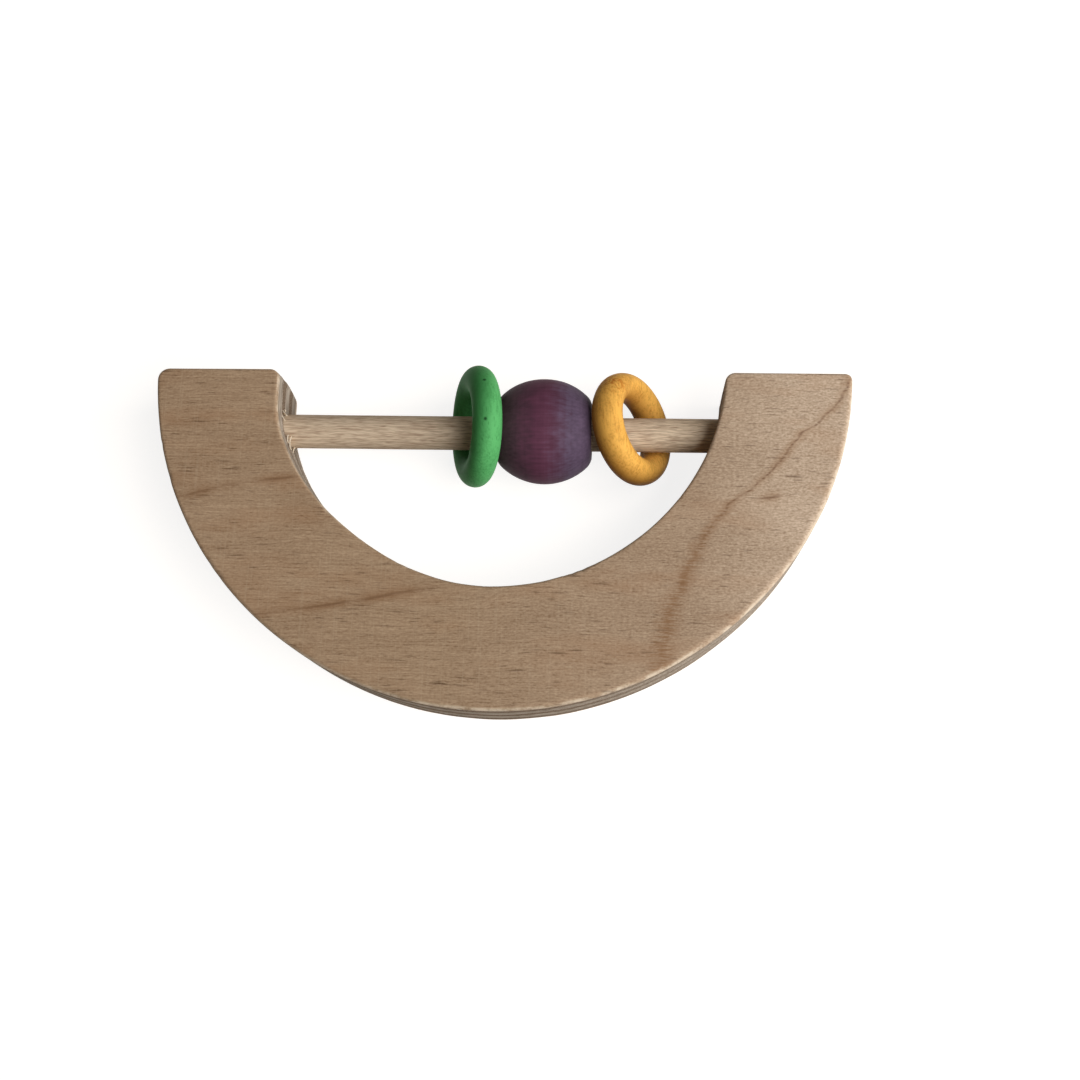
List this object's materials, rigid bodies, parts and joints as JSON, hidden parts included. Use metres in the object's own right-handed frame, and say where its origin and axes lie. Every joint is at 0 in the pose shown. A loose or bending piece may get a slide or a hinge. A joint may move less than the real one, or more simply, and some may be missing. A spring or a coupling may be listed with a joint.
{
  "type": "wooden bird rattle",
  "caption": "Hand-held wooden rattle for a pet bird: a plywood half ring with a beech dowel between its arms, carrying turned wooden rings and a barrel bead that slide and knock together.",
  "frame": {"origin": "on the back face of the half ring, in the middle of the band below the centre of the arc", "axes": "+X along the dowel towards the right arm, +Y towards the open side and the arm ends, +Z out of the front face"},
  "size_m": [0.1518, 0.0768, 0.0257],
  "materials": {
    "face_veneer": "sanded bare veneer with lengthwise grain",
    "long_ply": "sawn edge of a ply, long grain",
    "cross_ply": "sawn edge of a ply, rough end grain",
    "beech": "bare beech dowel",
    "green_dyed_wood": "dyed and waxed, satin",
    "purple_dyed_wood": "dyed and waxed, satin",
    "yellow_dyed_wood": "dyed and waxed, satin"
  },
  "bodies": {
    "half_ring": {"front_face_veneer": "face_veneer", "front_cross_ply": "cross_ply", "front_inner_ply": "long_ply", "core_ply": "cross_ply", "core_ply_arm_end": "cross_ply", "back_inner_ply": "long_ply", "back_cross_ply": "cross_ply", "back_face_veneer": "face_veneer", "dowel": "beech"},
    "yellow_ring": {"yellow_ring": "yellow_dyed_wood"},
    "bead": {"purple_bead": "purple_dyed_wood"},
    "green_ring": {"green_ring": "green_dyed_wood"}
  },
  "joints": [
    {"name": "yellow_ring_slide", "type": "slide", "parent": "half_ring", "child": "yellow_ring", "axis": [1, 0, 0], "range_m": [-0.0117, 0.0081]},
    {"name": "bead_slide", "type": "slide", "parent": "yellow_ring", "child": "bead", "axis": [1, 0, 0], "range_m": [-0.0117, 0]},
    {"name": "green_ring_slide", "type": "slide", "parent": "bead", "child": "green_ring", "axis": [1, 0, 0], "range_m": [-0.0117, 0]}
  ]
}
